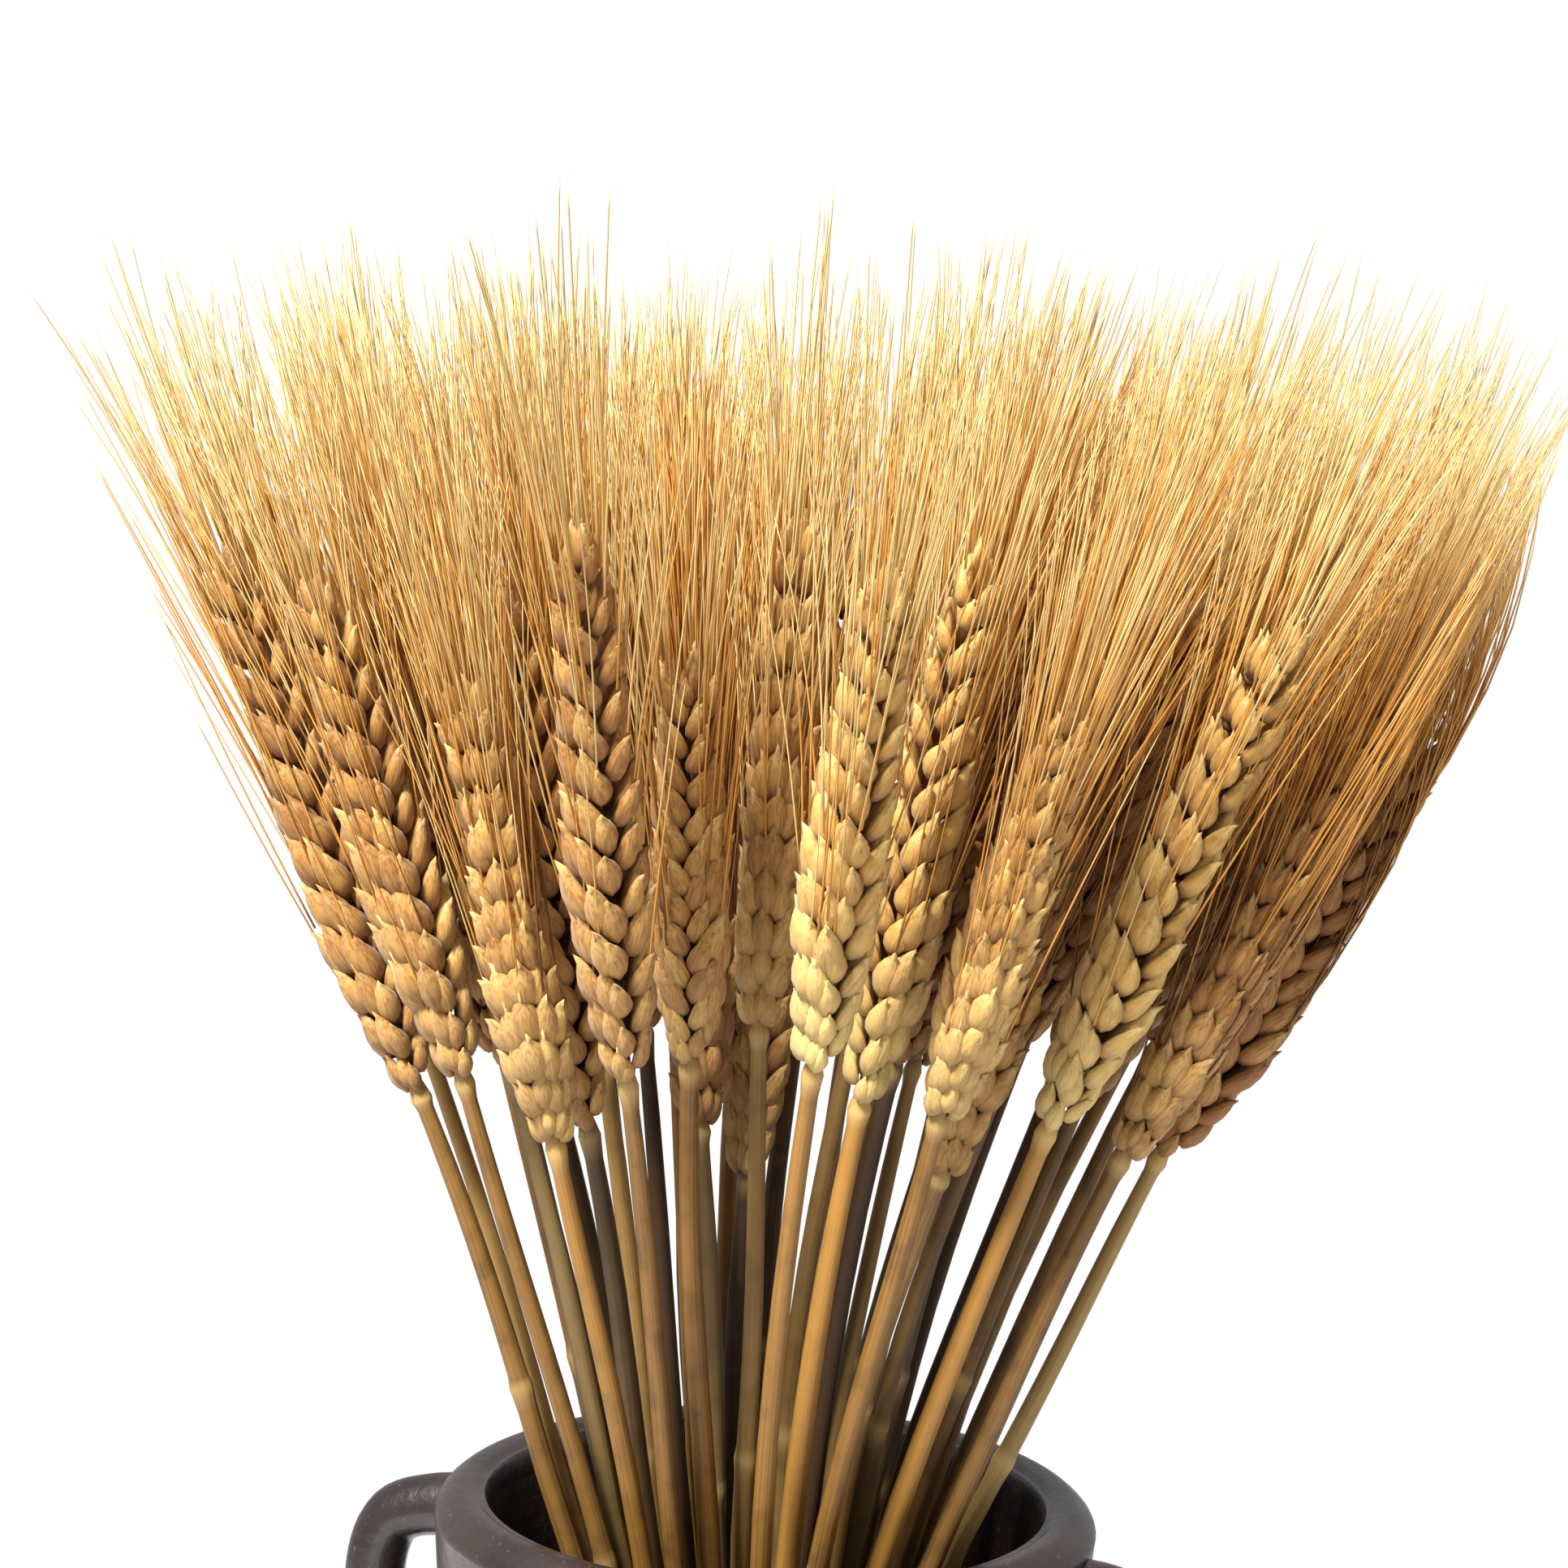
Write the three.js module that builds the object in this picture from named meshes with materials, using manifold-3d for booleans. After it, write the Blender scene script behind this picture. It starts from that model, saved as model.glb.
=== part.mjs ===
// A bouquet of dried bearded wheat standing in a two-handled stoneware jar.
// Millimetres, +Z up. The origin is the centre of the jar's flat foot, and the front is -Y.
import * as THREE from "three";
import { mergeVertices } from "three/addons/utils/BufferGeometryUtils.js";
import Module from "manifold-3d";

const wasm = await Module();
wasm.setup();

// Jar: a thrown body with a short upright neck, a rounded lip and two loop handles.
const JAR_HEIGHT = 165;
const FOOT_RADIUS = 46;
const BELLY_RADIUS = 71;
const NECK_RADIUS = 49.5;
const MOUTH_RADIUS = 42.5;
const JAR_WALL = 7;
const FLOOR_THICKNESS = 9;
const JAR_SIDES = 28;
const HANDLE_REACH = 70;
const HANDLE_RADIUS = 4.8;
const HANDLE_TURN = THREE.MathUtils.degToRad(18);

// Bouquet: every stalk keeps its own place in a disc, which widens from the jar's floor to the ear tips.
const STALK_COUNT = 44;
const CLEARANCE = 0.3;
const MOUTH_SPREAD = 31;
const FLOOR_SPREAD = 25;
const FAN_SLOPE = 0.37;
const FAN_CURVE = 0.0007;
const DEPTH_RATIO = 0.88;
const FLOOR_CENTRE_Y = 3;
const MOUTH_CENTRE_Y = -9;
const FAN_LEAN_X = 0.03;
const LEAN_CURVE_X = 0.0004;
const BEND = 1.0;

// One stalk: a straw stem, an ear with rows of florets on two sides, and long bristles, the awns, on it.
const STEM_RADIUS = 1.7;
const STEM_SIDES = 5;
const STEM_STEPS = 4;
const ROWS = 10;
const LEVELS = ROWS + 1;
const EAR_HALF_WIDTH = 6.5;
const EAR_TOP = 11;
const LOBE_OVERHANG = 0.24;
const AWN_RADIUS = 0.42;
const AWN_LENGTH = 68;
const AWN_SPREAD = THREE.MathUtils.degToRad(13);
const AWN_LEAST = THREE.MathUtils.degToRad(5.5);
const AWN_GAP = 1.3;
const EAR_CLEAR = 8.2;
const STEM_CLEAR = 2.8;
const LOBE_CLEAR = 1.3;
const LOBE_LEAST = -0.7;

// The stalks that stand out in front: place across and place in depth in the bouquet's disc, height of the
// ear's base above the jar's lip, length of the ear, and turn of the ear about its own line in degrees.
const FRONT_STALKS = [
  [-0.99, -0.2, 64, 88, 35],
  [-0.83, -0.45, 69, 79, 50],
  [-0.61, -0.76, 63, 73, 90],
  [-0.41, -0.9, 74, 84, 35],
  [-0.28, -0.62, 74, 64, 0],
  [-0.13, -0.36, 77, 77, 85],
  [-0.01, -0.93, 77, 77, 40],
  [0.12, -0.62, 69, 85, 145],
  [0.29, -0.86, 70, 66, 100],
  [0.46, -0.33, 75, 75, 10],
  [0.57, -0.68, 67, 84, 25],
  [0.84, 0.02, 73, 79, 30],
  [-0.14, 0.1, 50, 70, 30],
];

// Seeded draws between 0 and 1, the same in every run.
function makeRandom(seed) {
  let state = seed;
  return () => {
    state = (state * 16807) % 2147483647;
    return state / 2147483647;
  };
}

// Adds the other stalks one by one, each at the free place furthest from all the stalks so far.
function placeStalks() {
  const random = makeRandom(9077);
  const stalks = FRONT_STALKS.map((row) => [...row]);
  while (stalks.length < STALK_COUNT) {
    let best = null;
    let bestGap = -1;
    for (let attempt = 0; attempt < 300; attempt += 1) {
      const across = 2 * random() - 1;
      const depth = 2 * random() - 1;
      if (Math.hypot(across, depth) > 1) continue;
      const gap = Math.min(...stalks.map(([a, d]) => Math.hypot(a - across, d - depth)));
      if (gap > bestGap) {
        bestGap = gap;
        best = [across, depth];
      }
    }
    const [across, depth] = best;
    stalks.push([across, depth, 60 + 6 * depth + 16 * random(), 72 + 12 * random(), 180 * random()]);
  }
  return stalks;
}

// Radius of the bouquet's disc at a height.
function spreadAt(z) {
  const above = z - JAR_HEIGHT;
  if (above >= 0) return MOUTH_SPREAD + FAN_SLOPE * above + FAN_CURVE * above ** 2;
  const run = JAR_HEIGHT - FLOOR_THICKNESS;
  const t = Math.max(0, (z - FLOOR_THICKNESS) / run);
  const fromFloor = 2 * t ** 3 - 3 * t ** 2 + 1;
  return fromFloor * FLOOR_SPREAD + (1 - fromFloor) * MOUTH_SPREAD + (t ** 3 - t ** 2) * run * FAN_SLOPE;
}

// The point of a stalk's line at a height, with a slight bend of its own below the ear.
function stalkPoint([across, depth, earBase], index, z) {
  const spread = spreadAt(z);
  const rise = THREE.MathUtils.clamp((z - FLOOR_THICKNESS) / (JAR_HEIGHT - FLOOR_THICKNESS), 0, 1);
  const centreY = THREE.MathUtils.lerp(FLOOR_CENTRE_Y, MOUTH_CENTRE_Y, rise);
  const bow = THREE.MathUtils.clamp((z - JAR_HEIGHT) / earBase, 0, 1);
  const bend = BEND * Math.sin(Math.PI * bow);
  const above = Math.max(0, z - JAR_HEIGHT);
  const lean = FAN_LEAN_X * above + LEAN_CURVE_X * above ** 2;
  return new THREE.Vector3(
    spread * across + lean + bend * Math.cos(2.4 * index),
    spread * depth * DEPTH_RATIO + centreY + bend * Math.sin(2.4 * index),
    z,
  );
}

// A closed geometry as a solid that can be joined and cut.
function toSolid(geometry) {
  const bare = new THREE.BufferGeometry().setAttribute("position", geometry.getAttribute("position"));
  if (geometry.index) bare.setIndex(geometry.index);
  const merged = mergeVertices(bare, 1e-4);
  return new wasm.Manifold(
    new wasm.Mesh({
      numProp: 3,
      vertProperties: merged.attributes.position.array,
      triVerts: new Uint32Array(merged.index.array),
    }),
  );
}

// Joins pieces to one solid, with any pocket that the join seals filled.
function fuse(pieces) {
  const skins = wasm.Manifold.union(pieces).decompose();
  return skins.sort((a, b) => b.volume() - a.volume())[0];
}

// A solid as a geometry that a mesh can show.
function toGeometry(solid) {
  const { numProp, vertProperties, triVerts } = solid.getMesh();
  const positions = new Float32Array((vertProperties.length / numProp) * 3);
  for (let i = 0; i < positions.length / 3; i += 1)
    positions.set(vertProperties.subarray(i * numProp, i * numProp + 3), 3 * i);
  const geometry = new THREE.BufferGeometry().setAttribute(
    "position",
    new THREE.BufferAttribute(positions, 3),
  );
  geometry.setIndex(new THREE.BufferAttribute(triVerts, 1));
  geometry.computeVertexNormals();
  return geometry;
}

// A regular outline for a stem, a handle or another round bar.
function roundShape(radius, sides) {
  const corners = Array.from({ length: sides }, (_, i) => {
    const angle = (2 * Math.PI * i) / sides;
    return new THREE.Vector2(radius * Math.cos(angle), radius * Math.sin(angle));
  });
  return new THREE.Shape(corners);
}

function bar(points, radius, sides, steps) {
  const extrudePath = new THREE.CatmullRomCurve3(points);
  return toSolid(new THREE.ExtrudeGeometry(roundShape(radius, sides), { steps, extrudePath }));
}

// The jar's outer wall, from the foot's edge to the lip, moved outwards by a gap.
function outerWall(gap) {
  const lip = JAR_HEIGHT;
  return [
    [FOOT_RADIUS, 0],
    [FOOT_RADIUS + 1.5, 3],
    [60, 30],
    [69, 60],
    [BELLY_RADIUS, 84],
    [66.5, 108],
    [57, 124],
    [NECK_RADIUS + 0.5, 133],
    [NECK_RADIUS, 142],
    [NECK_RADIUS + 1, lip - 7],
    [NECK_RADIUS + 1.2, lip - 3],
    [NECK_RADIUS - 1.2, lip - 0.4],
    [NECK_RADIUS - 3.2, lip],
  ].map(([radius, z]) => new THREE.Vector2(radius + gap, z));
}

// A closed profile turned round the upright axis.
function turned(profile) {
  return toSolid(new THREE.LatheGeometry(profile, JAR_SIDES).rotateX(Math.PI / 2));
}

// The jar's wall and floor.
function makeJar() {
  const inner = (radius) => radius - JAR_WALL;
  const lip = JAR_HEIGHT;
  const inside = [
    [NECK_RADIUS - 5.4, lip - 0.8],
    [MOUTH_RADIUS, lip - 4],
    [MOUTH_RADIUS, 136],
    [inner(57), 122],
    [inner(BELLY_RADIUS), 84],
    [inner(60), 32],
    [FOOT_RADIUS - 4, FLOOR_THICKNESS],
    [0, FLOOR_THICKNESS],
  ].map(([radius, z]) => new THREE.Vector2(radius, z));
  return toGeometry(turned([new THREE.Vector2(0, 0), ...outerWall(0), ...inside]));
}

// A loop handle on one side, cut off at both ends where it is pressed on the wall.
function makeHandle(side) {
  const turn = new THREE.Matrix4().makeRotationZ(side - HANDLE_TURN);
  const reach = HANDLE_REACH - HANDLE_RADIUS;
  const route = [
    [NECK_RADIUS - 3, 155],
    [NECK_RADIUS + 5, 155.5],
    [reach - 3, 152.5],
    [reach, 144.5],
    [reach - 0.5, 133],
    [reach - 3, 121],
    [58.5, 113],
  ].map(([radius, z]) => new THREE.Vector3(radius, 0, z).applyMatrix4(turn));
  const axis = [new THREE.Vector2(0, 0), new THREE.Vector2(0, JAR_HEIGHT)];
  const wall = turned([axis[0], ...outerWall(CLEARANCE), axis[1]]);
  return toGeometry(bar(route, HANDLE_RADIUS, 8, 12).subtract(wall));
}

// A frame on a stalk's line at a height: along the stalk, across the ear's two rows, and out of its face.
function earFrame(stalk, index, z) {
  const along = stalkPoint(stalk, index, z + 1).sub(stalkPoint(stalk, index, z - 1)).normalize();
  const turn = THREE.MathUtils.degToRad(stalk[4]);
  const across = new THREE.Vector3(Math.cos(turn), Math.sin(turn), 0);
  const face = new THREE.Vector3().crossVectors(along, across).normalize();
  across.crossVectors(face, along).normalize();
  return { along, across, face };
}

// Shortest distance between two straight lines with ends.
function lineDistance([a0, a1], [b0, b1]) {
  const a = a1.clone().sub(a0);
  const b = b1.clone().sub(b0);
  const between = a0.clone().sub(b0);
  const aa = a.dot(a);
  const bb = b.dot(b);
  const ab = a.dot(b);
  const scale = aa * bb - ab * ab;
  const free = scale > 1e-9 ? (ab * b.dot(between) - bb * a.dot(between)) / scale : 0;
  let s = THREE.MathUtils.clamp(free, 0, 1);
  const t = THREE.MathUtils.clamp((ab * s + b.dot(between)) / bb, 0, 1);
  s = THREE.MathUtils.clamp((ab * t - a.dot(between)) / aa, 0, 1);
  return a0.clone().addScaledVector(a, s).distanceTo(b0.clone().addScaledVector(b, t));
}

// Half size of the ear at a share of its length: slim at the base, full low down, drawn in to the tip.
function earSize(share) {
  return 0.72 + 0.28 * Math.sin(Math.min(1, share / 0.3) * (Math.PI / 2)) - 0.34 * share ** 2.2;
}

// A corner of the ear's six-sided core, whose front and back edges follow the zigzag of the rachis.
function coreCorner(column, level, height) {
  const size = earSize(level / LEVELS);
  const [x, y] = [
    [0, 2.8],
    [-2.5, 1.8],
    [-2.5, -1.8],
    [0, -2.8],
    [2.5, -1.8],
    [2.5, 1.8],
  ][column];
  const zigzag = x === 0 && level > 0 && level < LEVELS ? (level % 2 ? -0.6 : 0.6) : 0;
  return new THREE.Vector3(x * size + zigzag, y * size, (level / LEVELS) * height);
}

// The rows of the ear. Rows on the left and on the right take turns, and each is cut into three cells.
function earCells() {
  const cells = [];
  for (let row = 0; row < ROWS; row += 1) {
    const right = row % 2 === 1;
    const bottom = row === 1 ? 0 : row;
    const top = row >= ROWS - 2 ? LEVELS : row + 2;
    const columns = right ? [3, 4, 5, 0] : [0, 1, 2, 3];
    const side = right ? 1 : -1;
    for (let part = 0; part < 3; part += 1)
      cells.push({ row, part, side, from: columns[part], to: columns[part + 1], bottom, top });
  }
  return cells;
}

// The belly and the point of a cell's lobe: the middle lobe stands out sideways, the others to the faces.
function lobeOf({ part, side, bottom, top }, height) {
  const level = height / LEVELS;
  const size = earSize(bottom / LEVELS) * EAR_HALF_WIDTH;
  const front = side * (part - 1);
  const [bellyOut, bellyFace, tipOut, tipFace] = part === 1 ? [0.78, 0, 1, 0] : [0.55, 0.64, 0.66, 0.86];
  const rise = Math.min(2, top - bottom) * level;
  const foot = top * level - rise;
  const over = LOBE_OVERHANG * rise * (part === 1 ? 0.6 : 1);
  return {
    belly: new THREE.Vector3(side * bellyOut * size, front * bellyFace * size, foot + 0.42 * rise),
    tip: new THREE.Vector3(side * tipOut * size, front * tipFace * size, top * level + over),
  };
}

// The stalk's ear as a frame: its foot, its axes and the height of its rows.
function earPlace(stalk, index) {
  const start = JAR_HEIGHT + stalk[2];
  const foot = stalkPoint(stalk, index, start);
  const { along, across, face } = earFrame(stalk, index, start + 20);
  const matrix = new THREE.Matrix4().makeBasis(across, face, along).setPosition(foot);
  const height = stalk[3] - EAR_TOP;
  const line = [foot, foot.clone().addScaledVector(along, stalk[3])];
  return { start, foot, along, across, face, matrix, height, line };
}

// The awns of one ear, on lobes taken evenly all over it and one on the tip. They fan out on all sides, the
// low ones most. One that would meet a stalk, a lobe or an awn nearby is bent until it is clear, and one that
// finds no way past the lobes above it has broken off.
function awnsOf(index, place, obstacles, taken) {
  const cells = earCells();
  const ridges = cells.map((cell) => {
    const { belly, tip } = lobeOf(cell, place.height);
    return [belly, tip];
  });
  const others = obstacles.filter((other) => other.index !== index);
  const roots = cells
    .map((cell, order) => ({ cell, order, start: ridges[order][1] }))
    .filter(({ cell }) => (3 * cell.row + cell.part + index) % 5 < 2);
  roots.push({ cell: null, order: -1, start: new THREE.Vector3(0, 0, place.height + EAR_TOP) });
  const awns = roots.map(({ cell, order, start }, n) => {
    const share = cell ? cell.row / ROWS : 1;
    const outward = cell ? Math.atan2(start.y, start.x) : index;
    const length = AWN_LENGTH + 5 * Math.sin(3 * n + index) - 22 * share;
    let best = null;
    for (let attempt = 0; attempt < 96; attempt += 1) {
      const swing = 0.09 * (attempt % 2 ? 1 : -1) * Math.ceil((attempt % 12) / 2);
      const wish = AWN_SPREAD * (1 - 0.45 * share) * (1 + 0.3 * Math.sin(5 * n + 2 * index + attempt));
      const lean = cell ? Math.max(AWN_LEAST, wish) : 0.015 * (attempt % 8);
      const around = outward + (cell ? swing : attempt);
      const aim = new THREE.Vector3(Math.cos(around), Math.sin(around), 0).multiplyScalar(Math.sin(lean));
      aim.z = Math.cos(lean);
      const end = start.clone().addScaledVector(aim, length);
      const line = [start, end].map((point) => point.clone().applyMatrix4(place.matrix));
      const toLobes = Math.min(
        ...ridges.map((ridge, i) => (i === order ? 9 : lineDistance([start, end], ridge) - LOBE_CLEAR)),
      );
      const gap = Math.min(
        toLobes,
        ...taken.map((other) => lineDistance(line, other) - AWN_GAP),
        ...others.map((other) => lineDistance(line, other.line) - other.clear),
      );
      if (best === null || gap > best.gap) best = { cell, start, end, aim, line, toLobes, gap };
      if (gap >= 0) break;
    }
    if (!cell || best.toLobes > LOBE_LEAST) taken.push(best.line);
    return best;
  });
  return awns.filter((awn) => !awn.cell || awn.toLobes > LOBE_LEAST);
}

// Three corners round an awn's root, the first one on the outer side.
function awnRing({ start, aim }) {
  const outer = new THREE.Vector3(start.x, start.y, 0);
  if (outer.lengthSq() < 1) outer.set(0, 1, 0);
  outer.addScaledVector(aim, -outer.dot(aim)).normalize();
  return [0, 1, 2].map((corner) => {
    const spoke = outer.clone().applyAxisAngle(aim, (corner * 2 * Math.PI) / 3);
    return start.clone().addScaledVector(spoke, AWN_RADIUS);
  });
}

// The ear: a core with a pointed lobe raised from each cell, and an awn drawn out of some of the points.
function makeEar(place, awns) {
  const points = [];
  const faces = [];
  const add = (point) => points.push(point) - 1;
  const known = new Map();
  const corner = (column, level) => {
    const key = `${column} ${level}`;
    if (!known.has(key)) known.set(key, add(coreCorner(column, level, place.height)));
    return known.get(key);
  };
  const edge = (column, bottom, top) => {
    const seam = column === 0 || column === 3;
    const steps = Array.from({ length: top - bottom + 1 }, (_, i) => bottom + i);
    const used = steps.filter((level) => seam || level === bottom || level === top);
    return used.map((level) => corner(column, level));
  };
  const drawOut = ([outer, left, right], end) => {
    const tip = add(end);
    faces.push([right, left, tip], [left, outer, tip], [outer, right, tip]);
  };
  earCells().forEach((cell) => {
    const { belly: bellyPoint, tip: tipPoint } = lobeOf(cell, place.height);
    const belly = add(bellyPoint);
    const rightEdge = edge(cell.to, cell.bottom, cell.top);
    const leftEdge = edge(cell.from, cell.bottom, cell.top).reverse();
    const topRight = rightEdge.at(-1);
    const topLeft = leftEdge[0];
    faces.push([leftEdge.at(-1), rightEdge[0], belly]);
    [rightEdge, leftEdge].forEach((run) => {
      for (let i = 0; i + 1 < run.length; i += 1) faces.push([run[i], run[i + 1], belly]);
    });
    const awn = awns.find((each) => each.cell?.row === cell.row && each.cell?.part === cell.part);
    if (!awn) {
      const tip = add(tipPoint);
      faces.push([topRight, topLeft, tip], [topRight, tip, belly], [topLeft, belly, tip]);
      return;
    }
    const [outer, right, left] = awnRing(awn).map(add);
    faces.push([topRight, topLeft, left], [topRight, left, right]);
    faces.push([topRight, right, belly], [right, outer, belly]);
    faces.push([topLeft, belly, left], [left, belly, outer]);
    drawOut([outer, left, right], awn.end);
  });
  const base = [0, 1, 2, 3, 4, 5].map((column) => corner(column, 0));
  const foot = add(new THREE.Vector3(0, 0, -2.5));
  base.forEach((each, i) => faces.push([foot, base[(i + 1) % 6], each]));
  const top = [0, 1, 2, 3, 4, 5].map((column) => corner(column, LEVELS));
  const [front, left, right] = awnRing(awns.at(-1)).map(add);
  faces.push([top[0], top[1], front], [top[1], left, front]);
  faces.push([top[1], top[2], left], [top[2], top[3], left]);
  faces.push([top[3], right, left], [top[3], top[4], right], [top[4], top[5], right]);
  faces.push([top[5], front, right], [top[5], top[0], front]);
  drawOut([front, right, left], awns.at(-1).end);
  const geometry = new THREE.BufferGeometry().setFromPoints(points);
  geometry.setIndex(faces.flat());
  return geometry.applyMatrix4(place.matrix);
}

// One cut stalk: its stem, whose top is sunk in the ear's foot, and the ear with its awns.
function makeStalk(stalk, index, place, awns) {
  const bottom = FLOOR_THICKNESS + CLEARANCE;
  const heights = [bottom, 60, 115, JAR_HEIGHT, (JAR_HEIGHT + place.start) / 2, place.start + 3];
  const route = heights.map((z) => stalkPoint(stalk, index, z));
  const stem = bar(route, STEM_RADIUS, STEM_SIDES, STEM_STEPS);
  return toGeometry(fuse([stem, toSolid(makeEar(place, awns))]));
}

const glaze = new THREE.MeshStandardMaterial({ color: 0x4a3a33, roughness: 0.45, metalness: 0 });
const straw = new THREE.MeshStandardMaterial({ color: 0xd9b066, roughness: 0.65, metalness: 0 });

function named(name, geometry, material) {
  const mesh = new THREE.Mesh(geometry, material);
  mesh.name = name;
  return mesh;
}

const stalks = placeStalks();
const places = stalks.map(earPlace);
const obstacles = places.flatMap(({ foot, along, line }, index) => [
  { index, line, clear: EAR_CLEAR },
  { index, line: [foot.clone().addScaledVector(along, -50), foot], clear: STEM_CLEAR },
]);
const taken = [];
const bouquet = new THREE.Group();
bouquet.add(named("jar", makeJar(), glaze));
bouquet.add(named("handle_right", makeHandle(0), glaze));
bouquet.add(named("handle_left", makeHandle(Math.PI), glaze));
stalks.forEach((stalk, index) => {
  const number = String(index + 1).padStart(2, "0");
  const awns = awnsOf(index, places[index], obstacles, taken);
  bouquet.add(named(`stalk_${number}`, makeStalk(stalk, index, places[index], awns), straw));
});

export default bouquet;
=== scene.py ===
"""A bouquet of dried bearded wheat standing in a two-handled stoneware jar.

Lengths are in millimetres while a piece is laid out, and its mesh is made in metres. The jar stands
on the origin with +Z up, and the front of the bouquet looks to -Y.
"""

import logging
import math
import random
from collections.abc import Callable, Iterator
from contextlib import contextmanager
from dataclasses import dataclass, field
from enum import Enum

import bmesh
import bpy
import numpy as np
from mathutils import Matrix, Vector


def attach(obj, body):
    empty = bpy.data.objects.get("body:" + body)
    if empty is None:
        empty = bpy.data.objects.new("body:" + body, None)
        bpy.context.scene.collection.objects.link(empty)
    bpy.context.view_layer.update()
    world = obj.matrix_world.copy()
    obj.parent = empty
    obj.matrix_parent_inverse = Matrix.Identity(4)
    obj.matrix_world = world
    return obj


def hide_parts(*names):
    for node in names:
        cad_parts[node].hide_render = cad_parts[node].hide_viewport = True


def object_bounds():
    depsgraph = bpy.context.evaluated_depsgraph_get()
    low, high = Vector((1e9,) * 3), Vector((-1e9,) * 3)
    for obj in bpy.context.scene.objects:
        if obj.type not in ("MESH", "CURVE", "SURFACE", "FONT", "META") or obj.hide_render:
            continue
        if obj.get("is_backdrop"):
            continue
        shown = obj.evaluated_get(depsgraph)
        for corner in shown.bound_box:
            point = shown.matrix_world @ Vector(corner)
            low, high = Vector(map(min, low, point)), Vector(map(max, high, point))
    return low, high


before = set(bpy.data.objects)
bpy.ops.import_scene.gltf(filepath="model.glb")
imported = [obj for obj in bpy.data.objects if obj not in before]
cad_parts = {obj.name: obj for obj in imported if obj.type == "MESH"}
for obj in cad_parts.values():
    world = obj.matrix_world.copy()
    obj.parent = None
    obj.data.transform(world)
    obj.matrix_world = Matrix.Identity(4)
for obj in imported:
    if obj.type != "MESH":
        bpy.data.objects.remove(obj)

LOG = logging.getLogger("wheat")
MM = 0.001
FRONT_STALKS = (
    (-0.99, -0.2, 64, 88, 35),
    (-0.83, -0.45, 69, 79, 50),
    (-0.61, -0.76, 63, 73, 90),
    (-0.41, -0.9, 74, 84, 35),
    (-0.28, -0.62, 74, 64, 0),
    (-0.13, -0.36, 77, 77, 85),
    (-0.01, -0.93, 77, 77, 40),
    (0.12, -0.62, 69, 85, 145),
    (0.29, -0.86, 70, 66, 100),
    (0.46, -0.33, 75, 75, 10),
    (0.57, -0.68, 67, 84, 25),
    (0.84, 0.02, 73, 79, 30),
    (-0.14, 0.1, 50, 70, 30),
)
# Tones of the front ears: partly their own colour, partly painted light on ears that face the light
# and painted shade on ears shaded by their neighbours.
FRONT_TONES_LIT_AND_SHADED = (0.25, 0.4, 0.5, 0.3, 0.4, 0.5, 0.95, 0.9, 0.6, 0.2, 1.0, 0.1, 0.3)

Colour = tuple[float, float, float, float]
Array = np.ndarray


def paint(red: int, green: int, blue: int) -> Colour:
    """A colour as a shader takes it, from its three screen values of 0 to 255."""
    screen = (red / 255, green / 255, blue / 255)
    linear = [c / 12.92 if c <= 0.04045 else ((c + 0.055) / 1.055) ** 2.4 for c in screen]
    return (*linear, 1.0)


def unit(vectors: Array) -> Array:
    """Vectors, or one vector, brought to length 1."""
    return vectors / np.linalg.norm(vectors, axis=-1, keepdims=True)


# The workbench: Blender's own tools, used as by hand


def put_down() -> None:
    """Leaves nothing selected and nothing active."""
    bpy.ops.object.select_all(action="DESELECT")
    bpy.context.view_layer.objects.active = None


def pick_up(*objects: bpy.types.Object) -> None:
    """Selects these objects alone, with the first one active."""
    put_down()
    for each in objects:
        each.select_set(True)
    bpy.context.view_layer.objects.active = objects[0]


@contextmanager
def at_work_on(piece: bpy.types.Object) -> Iterator[bmesh.types.BMesh]:
    """Edit mode on a piece, with nothing selected in it at the start.

    Args:
        piece: The mesh object to work on.

    Returns:
        The mesh as edit mode sees it.
    """
    pick_up(piece)
    bpy.ops.object.mode_set(mode="EDIT")
    bpy.ops.mesh.select_mode(type="VERT")
    bpy.ops.mesh.select_all(action="DESELECT")
    try:
        yield bmesh.from_edit_mesh(piece.data)
    finally:
        bpy.ops.object.mode_set(mode="OBJECT")


def choose(piece: bpy.types.Object, test: Callable[[Vector], bool]) -> None:
    """Selects the corners of a piece in edit mode that pass a test on their place.

    Args:
        piece: The mesh object that is in edit mode.
        test: Says of a corner's place, in metres, whether it is chosen.
    """
    shape = bmesh.from_edit_mesh(piece.data)
    for corner in shape.verts:
        corner.select = test(corner.co)
    shape.select_flush(True)
    bmesh.update_edit_mesh(piece.data)


def resize(scale: tuple[float, float, float], centre: tuple[float, float, float]) -> None:
    """Scales what is selected about a point given in metres."""
    bpy.ops.transform.resize(value=scale, center_override=centre)


def finish_modifier(piece: bpy.types.Object, modifier: bpy.types.Modifier) -> None:
    """Applies one modifier of a piece."""
    pick_up(piece)
    bpy.ops.object.modifier_apply(modifier=modifier.name)


def smooth_line(points: list[tuple[float, float]], parts: int) -> list[tuple[float, float]]:
    """A soft line through points, with each stretch cut into the same number of parts.

    Args:
        points: The points in order, each with any number of values.
        parts: How many short stretches replace each stretch between two points.

    Returns:
        The points of the soft line, the first and the last one unchanged.
    """
    known = np.array([points[0], *points, points[-1]], float)
    line = []
    for a, b, c, d in zip(known, known[1:], known[2:], known[3:]):
        for t in np.arange(parts) / parts:
            bend = (2 * a - 5 * b + 4 * c - d) * t**2 + (3 * b - a - 3 * c + d) * t**3
            line.append(tuple(0.5 * (2 * b + (c - a) * t + bend)))
    return [*line, tuple(known[-1])]


# Finishes


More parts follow.
